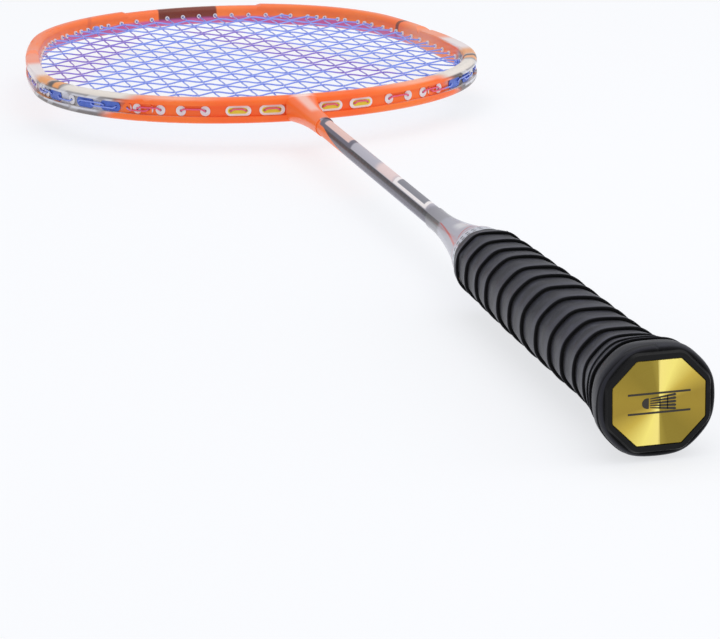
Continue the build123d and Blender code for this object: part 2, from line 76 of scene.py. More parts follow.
# ------------------------------------------------------------------ material helpers
class Paint:
    """A material and short calls for its nodes; sockets and plain numbers mix freely."""

    def __init__(self, name):
        self.material = bpy.data.materials.new(name)
        self.material.use_nodes = True
        self.tree = self.material.node_tree
        self.shader = self.tree.nodes["Principled BSDF"]
        coord = self.tree.nodes.new("ShaderNodeTexCoord")
        self.place = coord.outputs["Object"]
        self.uv = coord.outputs["UV"]
        self.x, self.y, self.z = self.split(self.place)

    def node(self, kind, inputs=(), **settings):
        n = self.tree.nodes.new(kind)
        for key, value in settings.items():
            setattr(n, key, value)
        for key, value in dict(inputs).items():
            self.feed(n.inputs[key], value)
        return n

    def feed(self, socket, value):
        if isinstance(value, bpy.types.NodeSocket):
            self.tree.links.new(value, socket)
        elif isinstance(value, (tuple, list)):
            wanted = len(socket.default_value)
            socket.default_value = (tuple(value) + (1.0,))[:wanted]
        else:
            socket.default_value = value

    def split(self, vector):
        n = self.node("ShaderNodeSeparateXYZ", {0: vector})
        return n.outputs[0], n.outputs[1], n.outputs[2]

    def join(self, x, y, z):
        return self.node("ShaderNodeCombineXYZ", {0: x, 1: y, 2: z}).outputs[0]

    def math(self, operation, *values, clamp=False):
        n = self.node("ShaderNodeMath", enumerate(values), operation=operation)
        n.use_clamp = clamp
        return n.outputs[0]

    def add(self, a, b):
        return self.math("ADD", a, b)

    def sub(self, a, b):
        return self.math("SUBTRACT", a, b)

    def mul(self, a, b):
        return self.math("MULTIPLY", a, b)

    def many(self, *values):
        total = values[0]
        for v in values[1:]:
            total = self.mul(total, v)
        return total

    def most(self, *values):
        total = values[0]
        for v in values[1:]:
            total = self.math("MAXIMUM", total, v)
        return total

    def step(self, value, low, high):
        n = self.node("ShaderNodeMapRange", interpolation_type="SMOOTHSTEP")
        self.feed(n.inputs[0], value)
        self.feed(n.inputs[1], low)
        self.feed(n.inputs[2], high)
        return n.outputs[0]

    def band(self, value, low, high, soft):
        rise = self.step(value, low - soft, low + soft)
        fall = self.step(value, high - soft, high + soft)
        return self.mul(rise, self.sub(1.0, fall))

    def mix(self, factor, a, b):
        n = self.node("ShaderNodeMix", data_type="RGBA")
        self.feed(n.inputs[0], factor)
        self.feed(n.inputs[6], a)
        self.feed(n.inputs[7], b)
        return n.outputs[2]

    def noise(self, scale, detail=3.0, vector=None, roughness=0.5, distortion=0.0):
        n = self.node("ShaderNodeTexNoise", {"Scale": scale, "Detail": detail})
        n.inputs["Roughness"].default_value = roughness
        n.inputs["Distortion"].default_value = distortion
        self.feed(n.inputs["Vector"], self.place if vector is None else vector)
        return n.outputs[0]

    def scaled(self, vector, x, y, z):
        n = self.node("ShaderNodeVectorMath", operation="MULTIPLY")
        self.feed(n.inputs[0], vector)
        n.inputs[1].default_value = (x, y, z)
        return n.outputs[0]

    def bump(self, height, strength, distance):
        n = self.node("ShaderNodeBump", {"Height": height})
        n.inputs["Strength"].default_value = strength
        n.inputs["Distance"].default_value = distance
        self.tree.links.new(n.outputs[0], self.shader.inputs["Normal"])

    def finish(self, **sockets):
        for key, value in sockets.items():
            self.feed(self.shader.inputs[key.replace("_", " ")], value)
        return self.material


def paint_node(name, material):
    """Puts the material on a carried-over CAD node."""
    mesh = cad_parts[name].data
    mesh.materials.clear()
    mesh.materials.append(material)


def piece(name, verts, faces, material, uv=None, replaces=(), smooth=True):
    """A mesh piece on the racket's one body; uv holds one (u, v) per vertex."""
    mesh = bpy.data.meshes.new(name)
    mesh.from_pydata(verts, [], faces)
    mesh.materials.append(material)
    if uv is not None:
        layer = mesh.uv_layers.new(name="UVMap")
        for loop in mesh.loops:
            layer.data[loop.index].uv = uv[loop.vertex_index]
    for polygon in mesh.polygons:
        polygon.use_smooth = smooth
    mesh.update()
    thing = bpy.data.objects.new(name, mesh)
    bpy.context.collection.objects.link(thing)
    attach(thing, "root")
    if replaces:
        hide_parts(*replaces)
    return thing


# ------------------------------------------------------------------ shared handle shape
CAP_SHAPE = [
    (0.0, 14.7, 13.7), (1.2, 15.5, 14.5), (7.0, 15.3, 14.3), (15.0, 13.0, 12.2), (24.0, 11.7, 10.95)
]
GRIP_SHAPE = [
    (0.9, 15.75, 14.75),
    (1.5, 16.3, 15.3),
    (2.4, 16.75, 15.75),
    (4.0, 17.0, 16.0),
    (8.0, 16.9, 15.9),
    (15.0, 14.9, 14.1),
    (24.0, 13.6, 12.9),
    (40.0, 13.0, 12.3),
    (90.0, 12.9, 12.2),
    (125.0, 12.45, 11.75),
    (150.0, 11.95, 11.3),
    (164.0, 11.6, 11.05),
]
CORE = (10.85, 10.15)


def along(table, y):
    """Half-widths at y, between the rows of the table."""
    if y <= table[0][0]:
        return table[0][1:]
    for a, b in zip(table[:-1], table[1:]):
        if y <= b[0]:
            t = (y - a[0]) / (b[0] - a[0])
            return tuple(p + (q - p) * t for p, q in zip(a[1:], b[1:]))
    return table[-1][1:]


def octagon_radius(half_x, half_z, turn, sharp):
    """Radius of a rounded eight sided section; turn runs from +Z over -X."""
    dx = abs(sin(turn))
    dz = abs(cos(turn))
    nx = 0.58 * half_z
    nz = 0.52 * half_x
    size = hypot(nx, nz)
    far = (nx * 0.48 * half_x + nz * half_z) / size
    slant = (nx * dx + nz * dz) / size
    total = (dx / half_x) ** sharp + (dz / half_z) ** sharp + (slant / far) ** sharp
    return total ** (-1.0 / sharp)


# ------------------------------------------------------------------ wound grip
# the strip's lower edge (millimetres from the butt) after each whole turn
EDGE = [
    0.9,
    0.9,
    11.5,
    16.5,
    22.5,
    31.5,
    43.3,
    54.6,
    67.6,
    81.0,
    94.5,
    106.0,
    120.5,
    131.5,
    143.5,
    155.5,
    163.4,
    170.0,
    176.0,
]
GRIP_END = 163.0


def edge_y(turns):
    """Where the strip's lower edge lies after so many turns, counted from its start."""
    turns = max(0.0, turns)
    k = min(int(turns), len(EDGE) - 3)
    t = turns - k
    p0 = EDGE[max(k - 1, 0)]
    p1, p2, p3 = EDGE[k], EDGE[k + 1], EDGE[k + 2]
    m1 = (p2 - p0) / 2 if k else 0.0
    m2 = (p3 - p1) / 2
    if p2 == p1:
        return p1
    if k == 1:
        m1 = 2.0
    h = t * t * (3 - 2 * t)
    return (
        p1 * (1 - h)
        + p2 * h
        + m1 * (t**3 - 2 * t**2 + t)
        + m2 * (t**3 - t**2)
    )


def strip_thickness(u):
    t = min(1.0, u / 3.0)
    return 0.85 + 0.5 * t * t * (3 - 2 * t)


def lay(turns, u, pitch):
    """Outer radial offset from the grip's shape at distance u from the strip's edge."""
    step = 1.1 * min(1.0, pitch / 8.0)
    f = min(1.0, u / pitch)
    lift = 0.42 - step * f
    if u < 0.5:
        lift -= 0.38 * (1 - sqrt(max(0.0, 1 - (1 - u / 0.5) ** 2)))
    ripple = 0.05 * sin(turns * 17.3 + u * 0.35) + 0.04 * sin(turns * 41.0 - u * 0.8)
    return lift + ripple


def build_grip(material):
    per_turn = 90
    last = 15.9
    steps = int(last * per_turn)
    verts = []
    uv = []
    faces = []
    length = 0.0
    rows = 0
    for i in range(steps + 1):
        turns = i / per_turn
        turn = 2 * pi * turns
        start = edge_y(turns)
        following = edge_y(turns + 1)
        after = edge_y(turns + 2)
        pitch = max(following - start, 2.5)
        pitch_next = max(after - following, 2.5)
        width = min(pitch + 0.8 * pitch_next, 25.0)
        if i == 0:
            width = pitch
        visible = [0.0, 0.06, 0.16, 0.32, 0.55, 0.9]
        visible += [0.9 + (pitch - 0.9) * k / 8 for k in range(1, 9)]
        us = visible + [pitch + (width - pitch) * k / 4 for k in range(1, 5)]
        outer = []
        inner = []
        for u in us:
            y = start + u
            clamped = min(y, GRIP_END)
            a, b = along(GRIP_SHAPE, clamped)
            shape = octagon_radius(a, b, turn, 11)
            if clamped < 24.0:
                ca, cb = along(CAP_SHAPE, clamped)
                core = octagon_radius(ca, cb, turn, 16) + 0.05
            elif clamped < 158.0:
                core = octagon_radius(CORE[0], CORE[1], turn, 30)
            else:
                core = 10.45
            if u <= pitch:
                r_out = shape + lay(turns, u, pitch)
                r_in = max(core, r_out - strip_thickness(u))
            else:
                over = u - pitch
                r_out = shape + lay(turns + 1, max(over, 0.5), pitch_next) - strip_thickness(over) - 0.05
                r_in = max(core, r_out - 1.35)
            r_out = max(r_out, core + 0.3)
            if y > GRIP_END - 0.6:
                r_out -= 0.2 * min(1.0, (y - GRIP_END + 0.6) / 0.6)
            r_in = min(r_in, r_out - 0.14)
            outer.append((clamped, r_out))
            inner.append((clamped, r_in))
        section = outer + inner[::-1]
        across = us + us[::-1]
        for (y, r), u in zip(section, across):
            verts.append((-r * sin(turn) * MM, y * MM, r * cos(turn) * MM))
            uv.append((length, u / pitch if u <= pitch else 1.0 + (u - pitch) / pitch))
        length += 2 * pi / per_turn * outer[6][1] * MM
        rows = len(section)
    for i in range(steps):
        for k in range(rows):
            n = (k + 1) % rows
            faces.append((i * rows + k, i * rows + n, (i + 1) * rows + n, (i + 1) * rows + k))
    faces.append(tuple(range(rows))[::-1])
    faces.append(tuple(steps * rows + k for k in range(rows)))
    grip = piece("grip_strip_wound", verts, faces, material, uv, ("grip_tape",))
    for polygon in grip.data.polygons[-2:]:
        polygon.use_smooth = False
    return length


p = Paint("grip_strip")
u_len, u_fold, _ = p.split(p.uv)
grain = p.noise(2600.0, 4.0)
mottled = p.noise(160.0, 3.0)
streak = p.noise(60.0, 2.0, p.join(p.mul(u_len, 3.0), p.mul(u_fold, 0.06), 0.0))
# crease: each strip edge and the fold where the next turn laps over; below it darkens the colour there as
# painted shade and raises the roughness
crease = p.most(p.step(u_fold, 0.90, 0.985), p.sub(1.0, p.step(u_fold, 0.0, 0.045)))
tone = p.mix(mottled, (0.006, 0.0062, 0.0105), (0.013, 0.0135, 0.024))
tone = p.mix(p.mul(p.step(streak, 0.45, 0.7), 0.6), tone, (0.034, 0.035, 0.056))
# painted highlight: a lighter band on each turn just past its exposed edge
tone = p.mix(p.mul(p.band(u_fold, 0.05, 0.3, 0.06), 0.35), tone, (0.052, 0.054, 0.085))
# painted shade: near black along every strip edge and fold
tone = p.mix(crease, tone, (0.002, 0.002, 0.003))
# painted shade: darker over the flare near the butt
tone = p.mix(p.mul(p.sub(1.0, p.step(p.y, 0.004, 0.011)), 0.6), tone, (0.004, 0.004, 0.005))
pores = p.node("ShaderNodeTexVoronoi", {"Scale": 1500.0, "Vector": p.place}).outputs[0]
p.bump(p.add(p.mul(grain, 0.6), p.mul(pores, 0.4)), 0.35, 0.0001)
rough = p.add(p.mul(grain, 0.14), p.add(0.38, p.mul(crease, 0.4)))
grip_material = p.finish(
    Base_Color=tone, Roughness=rough, Specular_IOR_Level=0.24, Sheen_Weight=0.04, Sheen_Roughness=0.4
)
grip_length = build_grip(grip_material)

# ------------------------------------------------------------------ hoop outline, as the frame's
TIP_Y, BOTTOM_Y, HALF, WIDE_Y, R_TIP, R_THROAT = 675.0, 427.0, 98.5, 520.0, 90.0, 109.5
tip_c = TIP_Y - R_TIP
throat_c = BOTTOM_Y + R_THROAT
rise = tip_c - WIDE_Y
drop = WIDE_Y - throat_c
r_upper = (HALF**2 + rise**2 - R_TIP**2) / (2 * (HALF - R_TIP))
r_lower = (HALF**2 + drop**2 - R_THROAT**2) / (2 * (HALF - R_THROAT))
tip_angle = atan2(rise, -(HALF - r_upper))
throat_angle = atan2(-(throat_c - WIDE_Y), HALF - r_lower)
ARCS = [
    (R_THROAT * (pi / 2 + throat_angle), 0.0, throat_c, R_THROAT, -pi / 2),
    (-r_lower * throat_angle, HALF - r_lower, WIDE_Y, r_lower, throat_angle),
    (r_upper * tip_angle, HALF - r_upper, WIDE_Y, r_upper, 0.0),
    (R_TIP * (pi / 2 - tip_angle), 0.0, tip_c, R_TIP, tip_angle),
]
HALF_LENGTH = sum(a[0] for a in ARCS)


def hoop(s, inset, z=0.0):
    """Point on the hoop at distance s from the shaft axis, moved inwards by inset."""
    side = 1 if s >= 0 else -1
    left = abs(s)
    for index, (length, cx, cy, radius, start) in enumerate(ARCS):
        if left <= length or index == 3:
            angle = start + left / radius
            return Vector(
                (side * (cx + (radius - inset) * cos(angle)), cy + (radius - inset) * sin(angle), z)
            )
        left -= length


# ------------------------------------------------------------------ strings
STRING_RADIUS, STRING_SIDES = 0.35, 8
MOUTH = 7.3
MAIN_PITCH = 7.9
CROSS_FIRST_Y, CROSS_PITCH = 452.6, 9.52
MAIN_LOW = [9.3, 15.7, 23.4, 29.8, 40.5, 50.9, 60.0, 70.8, 87.9, 103.2, 125.6]
CROSS_LOW = [65.4, 81.5, 95.4, 108.5, 118.8, 130.6]
MAIN_TIE, CROSS_TIE = 135.35, 75.7


def station(low, high, wanted, axis):
    rising = hoop(high, MOUTH)[axis] > hoop(low, MOUTH)[axis]
    for _ in range(60):
        middle = (low + high) / 2
        if (hoop(middle, MOUTH)[axis] < wanted) == rising:
            low = middle
        else:
            high = middle
    return low


widest_s = ARCS[0][0] + ARCS[1][0]
holes = []
for i in range(11):
    holes.append([station(widest_s, HALF_LENGTH, MAIN_PITCH * (i + 0.5), 0), "main", i])
for j in range(6, 22):
    holes.append([station(widest_s / 2, HALF_LENGTH, CROSS_FIRST_Y + CROSS_PITCH * j, 1), "cross", j])
holes.append([station(widest_s, HALF_LENGTH, 50.6, 0), "tie", 0])
holes.sort()
for _ in range(400):
    for k in range(len(holes) - 1):
        lack = 5.0 - (holes[k + 1][0] - holes[k][0])
        if lack > 0:
            holes[k][0] -= lack / 2
            holes[k + 1][0] += lack / 2
MAIN_TOP = [h[0] for i in range(11) for h in holes if h[1:] == ["main", i]]
CROSS_S = CROSS_LOW + [h[0] for j in range(6, 22) for h in holes if h[1:] == ["cross", j]]
TOP_TIE = [h[0] for h in holes if h[1] == "tie"][0]
CROSS_Y = [hoop(s, MOUTH).y for s in CROSS_S]


def lane(i, side):
    low = hoop(side * MAIN_LOW[i], MOUTH)
    high = hoop(side * MAIN_TOP[i], MOUTH)
    x = side * MAIN_PITCH * (i + 0.5)
    return [low, Vector((x, low.y + 20, 0)), Vector((x, high.y - 7, 0)), high]


def lane_x(points, y):
    if y < points[0].y + 0.8 or y > points[3].y - 0.8:
        return None
    for a, b in zip(points[:-1], points[1:]):
        if a.y <= y <= b.y:
            return a.x + (b.x - a.x) * (y - a.y) / (b.y - a.y)


def loop_route(s_from, s_to, z):
    way = 1 if s_to > s_from else -1
    span = abs(s_to - s_from) - 2.6
    count = int(span // 2.5) + 1
    route = [hoop(s_from, 0.8)]
    route += [hoop(s_from + way * (1.3 + span * k / count), 0.75, z) for k in range(count + 1)]
    return route + [hoop(s_to, 0.8)]


def weave(ends, crossings, amount):
    """Points from one mouth to the other that swing smoothly over and under at the crossings."""
    knots = [(ends[0], 0.0)] + crossings + [(ends[1], 0.0)]
    points = [ends[0]]
    for (a, za), (b, zb) in zip(knots[:-1], knots[1:]):
        for k in range(1, 7):
            t = k / 6
            h = (1 - cos(pi * t)) / 2
            at = a.lerp(b, t)
            at.z = amount * (za + (zb - za) * h)
            points.append(at)
    return points


LANES = [lane(i, -1) for i in reversed(range(11))] + [lane(i, 1) for i in range(11)]
MAIN_SWING, CROSS_SWING = 0.2, 0.54


def main_run(index):
    points = LANES[index]
    marks = []
    for j, y in enumerate(CROSS_Y):
        x = lane_x(points, y)
        if x is not None:
            marks.append((y, Vector((x, y, 0)), -1.0 if (index + j) % 2 else 1.0))
    marks += [(q.y, Vector(q), None) for q in points[1:3]]
    marks.sort(key=lambda m: m[0])
    crossings = []
    for n, (y, at, swing) in enumerate(marks):
        if swing is None:
            if any(abs(y - m[0]) < 2.5 for m in marks if m[2] is not None):
                continue
            swing = 0.0
        crossings.append((at, swing))
    return weave((points[0], points[3]), crossings, MAIN_SWING)


def cross_run(j):
    y = CROSS_Y[j]
    crossings = []
    for index, points in enumerate(LANES):
        x = lane_x(points, y)
        if x is not None:
            crossings.append((Vector((x, y, 0)), 1.0 if (index + j) % 2 else -1.0))
    return weave((hoop(-CROSS_S[j], MOUTH), hoop(CROSS_S[j], MOUTH)), crossings, CROSS_SWING)


def softened(points):
    """Rounds the sharp turns at the grommets with short bends."""
    out = [points[0]]
    for a, b, c in zip(points[:-2], points[1:-1], points[2:]):
        back = a - b
        ahead = c - b
        if back.length < 1e-6 or ahead.length < 1e-6:
            continue
        bend = pi - back.angle(ahead)
        if bend < radians(14):
            out.append(b)
            continue
        reach = min(0.42, back.length * 0.45, ahead.length * 0.45)
        first = b + back.normalized() * reach
        last = b + ahead.normalized() * reach
        for k in range(5):
            t = k / 4
            out.append(first.lerp(b, t).lerp(b.lerp(last, t), t))
    out.append(points[-1])
    return out


def tube(name, points, radius, sides, material, replaces=()):
    """Closed round tube along the points (millimetres), carried without twist."""
    points = softened(points)
    verts = []
    uv = []
    faces = []
    normal = None
    run = 0.0
    count = len(points)
    for i, at in enumerate(points):
        before = points[max(i - 1, 0)]
        after = points[min(i + 1, count - 1)]
        direction = (after - before).normalized()
        if normal is None:
            normal = direction.orthogonal().normalized()
        normal = (normal - direction * normal.dot(direction)).normalized()
        side = direction.cross(normal)
        run += (at - before).length if i else 0.0
        for k in range(sides):
            angle = 2 * pi * k / sides
            offset = normal * cos(angle) + side * sin(angle)
            verts.append((at + offset * radius) * MM)
            uv.append((run * MM, k / sides))
    for i in range(count - 1):
        for k in range(sides):
            n = (k + 1) % sides
            faces.append((i * sides + k, i * sides + n, (i + 1) * sides + n, (i + 1) * sides + k))
    faces.append(tuple(range(sides))[::-1])
    faces.append(tuple((count - 1) * sides + k for k in range(sides)))
    return piece(name, verts, faces, material, uv, replaces)


main_route = [hoop(-MAIN_TIE, 9.6), hoop(-MAIN_TIE, 3.0)] + loop_route(-MAIN_TIE, -MAIN_LOW[-1], 0.75)
order = [(-1, i) for i in reversed(range(11))] + [(1, i) for i in range(11)]
for k, (side, i) in enumerate(order):
    upwards = k % 2 == 0
    run = main_run(k)
    main_route += run if upwards else run[::-1]
    here = MAIN_TOP[i] if upwards else MAIN_LOW[i]
    if k == 21:
        main_route += loop_route(here, MAIN_TIE, 0.75)
    else:
        next_side, n = order[k + 1]
        there = MAIN_TOP[n] if upwards else MAIN_LOW[n]
        if side != next_side:
            main_route += loop_route(-here, -2 * HALF_LENGTH + there, 0.75)
        else:
            main_route += loop_route(side * here, side * there, 0.75)
main_route += [hoop(MAIN_TIE, 3.0), hoop(MAIN_TIE, 9.6)]

cross_route = [hoop(-TOP_TIE, 9.6), hoop(-TOP_TIE, 3.0)] + loop_route(-TOP_TIE, -CROSS_S[-1], -0.75)
for k, j in enumerate(reversed(range(22))):
    run = cross_run(j)
    cross_route += run if k % 2 == 0 else run[::-1]
    side = 1 if k % 2 == 0 else -1
    if j:
        cross_route += loop_route(side * CROSS_S[j], side * CROSS_S[j - 1], -0.75)
cross_route += loop_route(-CROSS_S[0], -CROSS_TIE, -0.75) + [hoop(-CROSS_TIE, 3.0), hoop(-CROSS_TIE, 9.6)]

p = Paint("string_nylon")
u_len, u_round, _ = p.split(p.uv)
left_line = p.sub(p.x, p.mul(p.sub(p.y, 0.512), 0.43))
left_band = p.many(
    p.band(left_line, -0.104, -0.078, 0.004), p.step(p.y, 0.50, 0.515), p.sub(1.0, p.step(p.y, 0.62, 0.635))
)
right_line = p.add(p.x, p.mul(p.sub(p.y, 0.555), 0.34))
right_band = p.many(
    p.band(right_line, 0.012, 0.036, 0.004), p.step(p.y, 0.478, 0.49), p.sub(1.0, p.step(p.y, 0.625, 0.64))
)
stencil = p.mul(p.most(left_band, right_band), 0.9)
fibre = p.math("SINE", p.add(p.mul(u_len, 9000.0), p.mul(u_round, 6.2832 * 2)))
fibre = p.add(p.mul(fibre, 0.5), 0.5)
wear = p.noise(300.0, 3.0)
tone = p.mix(wear, (0.16, 0.24, 0.80), (0.25, 0.35, 0.92))
tone = p.mix(stencil, tone, (0.26, 0.13, 0.62))
tone = p.mix(p.mul(fibre, 0.15), tone, (0.6, 0.7, 1.0))
off_centre = p.math("SQRT", p.add(p.mul(p.x, p.x), p.mul(p.sub(p.y, 0.5365), p.sub(p.y, 0.5365))))
in_groove = p.mul(p.step(off_centre, 0.1055, 0.1062), p.sub(1.0, p.step(p.y, 0.451, 0.4545)))
tone = p.mix(in_groove, tone, (0.80, 0.10, 0.22))
p.bump(fibre, 0.25, 0.00004)
string_material = p.finish(
    Base_Color=tone,
    Roughness=p.add(0.25, p.mul(wear, 0.12)),
    Subsurface_Weight=0.15,
    Subsurface_Radius=(0.001, 0.001, 0.002),
    Subsurface_Scale=0.3,
    Coat_Weight=0.4,
)
tube(
    "main_string_woven",
    main_route,
    STRING_RADIUS,
    STRING_SIDES,
    string_material,
    ("main_string",),
)
tube(
    "cross_string_woven",
    cross_route,
    STRING_RADIUS,
    STRING_SIDES,
    string_material,
    ("cross_string",),
)
paint_node("main_knots", string_material)
paint_node("cross_knots", string_material)

# ------------------------------------------------------------------ lacquered hoop
ORANGE = (1.0, 0.115, 0.004)
ORANGE_LIGHT = (1.0, 0.175, 0.012)
p = Paint("head_lacquer")
normal = p.node("ShaderNodeNewGeometry").outputs["Normal"]
nx, ny, nz = p.split(normal)
outwards = p.add(p.mul(nx, p.mul(p.x, 10.0)), p.mul(ny, p.mul(p.sub(p.y, 0.53), 10.0)))
facing_out = p.step(outwards, -0.05, 0.2)
inside = p.sub(1.0, facing_out)
flake = p.noise(4200.0, 2.0)
cloud = p.noise(26.0, 3.0)
base = p.mix(p.step(cloud, 0.35, 0.65), ORANGE, ORANGE_LIGHT)
base = p.mix(p.mul(p.step(p.y, 0.56, 0.64), 0.4), base, (1.0, 0.26, 0.08))
# graphite panels low on both sides, with slanted light streaks and a cream upper edge
slant = p.add(p.y, p.mul(p.z, 0.9))
panel = p.many(p.step(slant, 0.4535, 0.462), p.sub(1.0, p.step(slant, 0.512, 0.522)))
steel = p.mix(p.step(p.noise(45.0, 3.0), 0.40, 0.62), (0.30, 0.31, 0.34), (0.055, 0.06, 0.07))
streaks = p.node(
    "ShaderNodeTexWave",
    {
        "Scale": 17.0,
        "Vector": p.join(p.add(p.y, p.mul(p.z, 1.6)), 0.0, 0.0),
        "Distortion": 1.2,
        "Detail": 2.0,
    },
).outputs[1]
steel = p.mix(p.many(p.step(streaks, 0.74, 0.9), 0.75), steel, (0.66, 0.68, 0.72))
steel = p.mix(p.mul(p.sub(1.0, p.step(p.z, -0.0046, -0.0026)), 0.8), steel, (0.05, 0.05, 0.055))
halo = p.many(
    facing_out,
    p.band(p.z, -0.0031, 0.0031, 0.0003),
    p.step(p.noise(55.0, 2.0, p.scaled(p.place, 1.0, 1.0, 0.1)), 0.44, 0.52),
)
steel = p.mix(p.mul(halo, 0.8), steel, (0.72, 0.75, 0.84))
base = p.mix(panel, base, steel)
top_side = p.step(nz, 0.35, 0.8)
cream = p.many(p.step(nz, 0.1, 0.5), p.band(p.y, 0.452, 0.484, 0.004))
base = p.mix(cream, base, (0.80, 0.76, 0.70))
tan_bit = p.many(
    p.step(nz, 0.0, 0.4), p.most(p.band(p.y, 0.487, 0.492, 0.001), p.band(p.y, 0.497, 0.514, 0.002))
)
base = p.mix(tan_bit, base, (0.86, 0.36, 0.12))
# painted highlight: pale peach on the upward faces near the throat
top_highlight = p.many(top_side, p.band(p.y, 0.436, 0.450, 0.006), 0.6)
base = p.mix(top_highlight, base, (0.94, 0.55, 0.42))
# white lacquer round the widest part, fading back to orange above it
white_side = p.many(p.most(facing_out, p.step(nz, 0.3, 0.7)), p.band(slant, 0.516, 0.549, 0.006))
base = p.mix(p.mul(white_side, 0.92), base, (0.84, 0.84, 0.86))
fade = p.many(p.band(slant, 0.550, 0.585, 0.014), 0.55)
base = p.mix(fade, base, (0.95, 0.42, 0.28))
# maroon panel inside the tip, and thin rings: dark on the right shoulder, faint on the left
tip_patch = p.many(
    inside, p.band(p.x, -0.0162, 0.0128, 0.0005), p.step(p.y, 0.62, 0.63), p.step(p.z, -0.0016, -0.0006)
)
base = p.mix(tip_patch, base, p.mix(cloud, (0.08, 0.006, 0.005), (0.22, 0.018, 0.010)))
ring = p.many(p.band(p.add(p.y, p.mul(p.z, 0.25)), 0.5914, 0.5942, 0.0005), p.step(p.x, 0.0, 0.001))
base = p.mix(p.mul(ring, 0.85), base, (0.06, 0.02, 0.02))
ring = p.many(p.band(p.sub(p.x, p.mul(p.z, 0.2)), -0.0546, -0.0526, 0.0006), p.step(p.y, 0.62, 0.63))
base = p.mix(p.mul(ring, 0.22), base, (0.30, 0.03, 0.08))
violet = p.many(inside, p.step(p.y, 0.56, 0.60), p.sub(1.0, p.step(p.z, -0.0014, 0.0002)))
base = p.mix(p.mul(violet, 0.7), base, (0.42, 0.06, 0.46))
# painted highlight: a white patch on the upward faces where the shaft's axis meets the throat
throat_highlight = p.many(
    p.step(nz, 0.1, 0.5), p.band(p.x, -0.0035, 0.0042, 0.0025), p.sub(1.0, p.step(p.y, 0.436, 0.440))
)
base = p.mix(p.mul(throat_highlight, 0.85), base, (0.95, 0.78, 0.74))
base = p.mix(p.mul(flake, 0.12), base, (1.0, 0.55, 0.35))
p.bump(p.add(p.noise(700.0, 2.0), p.mul(flake, 0.15)), 0.04, 0.0002)
head_material = p.finish(
    Base_Color=base,
    Roughness=p.add(0.28, p.mul(flake, 0.1)),
    Specular_IOR_Level=0.2,
    Coat_Weight=0.2,
    Coat_Roughness=0.12,
)
paint_node("head_frame", head_material)

# ------------------------------------------------------------------ throat, shaft and cone
def round_the_shaft(p):
    """Angle round the shaft axis: 0 on top, positive to the right, from -pi to pi."""
    return p.math("ARCTAN2", p.x, p.z)


def shaft_art(p, base):
    """The long graphics that run from the cone's narrow end up the shaft to the throat."""
    turn = round_the_shaft(p)
    leaning = p.sub(p.y, p.mul(turn, 0.004))
    base = p.mix(p.band(turn, -3.2, -1.38, 0.10), base, (0.13, 0.12, 0.16))
    base = p.mix(p.band(turn, -3.2, -2.0, 0.25), base, (0.34, 0.33, 0.41))
    base = p.mix(p.band(turn, -0.86, 2.3, 0.05), base, (0.44, 0.42, 0.48))
    pink = p.mul(p.band(turn, -0.80, 2.0, 0.08), p.band(leaning, 0.276, 0.300, 0.004))
    base = p.mix(pink, base, (0.80, 0.62, 0.60))
    outer = p.mul(p.band(turn, -0.78, 2.0, 0.05), p.band(leaning, 0.2315, 0.2755, 0.0008))
    inner = p.mul(p.band(turn, -0.46, 1.7, 0.05), p.band(leaning, 0.2350, 0.2715, 0.0008))
    base = p.mix(p.math("SUBTRACT", outer, inner, clamp=True), base, (0.90, 0.84, 0.83))
    base = p.mix(inner, base, (0.20, 0.20, 0.23))
    base = p.mix(
        p.mul(p.band(turn, -0.86, 2.3, 0.05), p.sub(1.0, p.step(p.y, 0.2255, 0.2315))),
        base,
        (0.26, 0.25, 0.29),
    )
    point = p.sub(p.mul(p.sub(p.y, 0.335), 40.0), 2.6)
    orange = p.most(p.step(p.sub(point, turn), 0.0, 0.1), p.step(turn, 2.4, 2.6))
    orange = p.mul(orange, p.step(p.y, 0.333, 0.337))
    base = p.mix(orange, base, ORANGE_LIGHT)
    rim_outer = p.mul(p.band(turn, -0.95, 2.2, 0.06), p.band(leaning, 0.3380, 0.3880, 0.0012))
    rim_inner = p.mul(p.band(turn, -0.52, 1.8, 0.06), p.band(leaning, 0.3435, 0.3820, 0.0012))
    base = p.mix(p.math("SUBTRACT", rim_outer, rim_inner, clamp=True), base, (0.10, 0.09, 0.13))
    return p.mix(rim_inner, base, (0.80, 0.52, 0.46))


p = Paint("throat_lacquer")
flake = p.noise(4200.0, 2.0)
base = p.mix(p.noise(40.0, 2.0), ORANGE, ORANGE_LIGHT)
base = p.mix(p.sub(1.0, p.step(p.y, 0.3872, 0.3888)), base, shaft_art(p, base))
turn = round_the_shaft(p)
# painted highlight: a pale pink streak along the top of the throat
throat_streak_highlight = p.many(p.band(turn, -0.50, 0.35, 0.22), p.step(p.y, 0.398, 0.406))
base = p.mix(p.mul(throat_streak_highlight, 0.75), base, (0.96, 0.62, 0.54))
base = p.mix(p.mul(flake, 0.12), base, (1.0, 0.6, 0.4))
p.bump(p.noise(700.0, 2.0), 0.04, 0.0002)
paint_node(
    "throat_joint",
    p.finish(
        Base_Color=base,
        Roughness=p.add(0.28, p.mul(flake, 0.1)),
        Specular_IOR_Level=0.2,
        Coat_Weight=0.15,
        Coat_Roughness=0.15,
    ),
)

p = Paint("shaft_lacquer")
flake = p.noise(4200.0, 2.0)
twill = p.node(
    "ShaderNodeTexChecker", {"Scale": 420.0, "Vector": p.join(p.mul(round_the_shaft(p), 0.0036), p.y, 0.0)}
).outputs[1]
base = p.mix(p.mul(twill, 0.5), (0.016, 0.016, 0.019), (0.036, 0.036, 0.042))
base = shaft_art(p, base)
base = p.mix(p.mul(flake, 0.08), base, (0.5, 0.5, 0.6))
p.bump(p.noise(700.0, 2.0), 0.03, 0.0002)
paint_node(
    "shaft",
    p.finish(
        Base_Color=base,
        Roughness=p.add(0.34, p.mul(flake, 0.1)),
        Specular_IOR_Level=0.22,
        Coat_Weight=0.1,
        Coat_Roughness=0.25,
    ),
)

